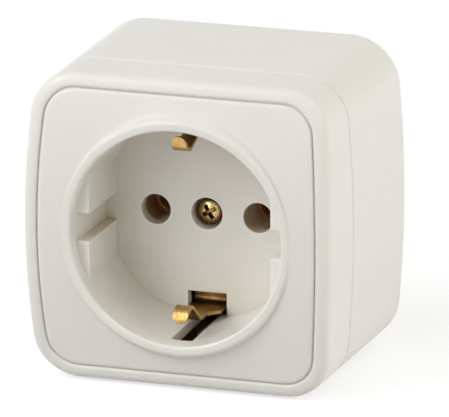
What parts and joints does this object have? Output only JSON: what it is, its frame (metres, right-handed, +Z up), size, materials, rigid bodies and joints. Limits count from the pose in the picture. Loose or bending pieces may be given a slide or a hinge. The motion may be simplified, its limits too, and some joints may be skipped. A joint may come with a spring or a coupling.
{
  "type": "surface mounted socket",
  "caption": "Surface mounted earthed wall socket: deep box, front cover with a round recess, pin holes, side earth clips and a middle screw.",
  "frame": {"origin": "centre of the rear face that lies on the wall, at the middle of the body and level with the pin holes", "axes": "+Z up the wall, +X to the right seen from the front, -Y out of the wall towards the plug"},
  "size_m": [0.058, 0.041, 0.0564],
  "materials": {
    "cover_plastic": "satin gloss, warm white",
    "box_plastic": "satin gloss, warm white",
    "base_plastic": "matte, light grey",
    "contact_brass": "bright stamped strip",
    "zinc_steel": "zinc plated",
    "yellow_zinc": "yellow passivated zinc"
  },
  "bodies": {
    "root": {"base_plate": "base_plastic", "base_screw_lower": "zinc_steel", "base_screw_upper": "zinc_steel", "contact_base": "base_plastic", "cover_nut": "zinc_steel", "cover_screw": "yellow_zinc", "earth_clamp_plate": "zinc_steel", "earth_strap": "contact_brass", "earth_terminal_nut": "zinc_steel", "earth_terminal_screw": "zinc_steel", "front_cover": "cover_plastic", "live_clamp_plate": "zinc_steel", "live_contact": "contact_brass", "live_contact_spring": "zinc_steel", "live_terminal_nut": "zinc_steel", "live_terminal_screw": "zinc_steel", "neutral_clamp_plate": "zinc_steel", "neutral_contact": "contact_brass", "neutral_contact_spring": "zinc_steel", "neutral_terminal_nut": "zinc_steel", "neutral_terminal_screw": "zinc_steel", "rear_box": "box_plastic", "strap_rivet_lower": "contact_brass", "strap_rivet_upper": "contact_brass"}
  },
  "joints": []
}
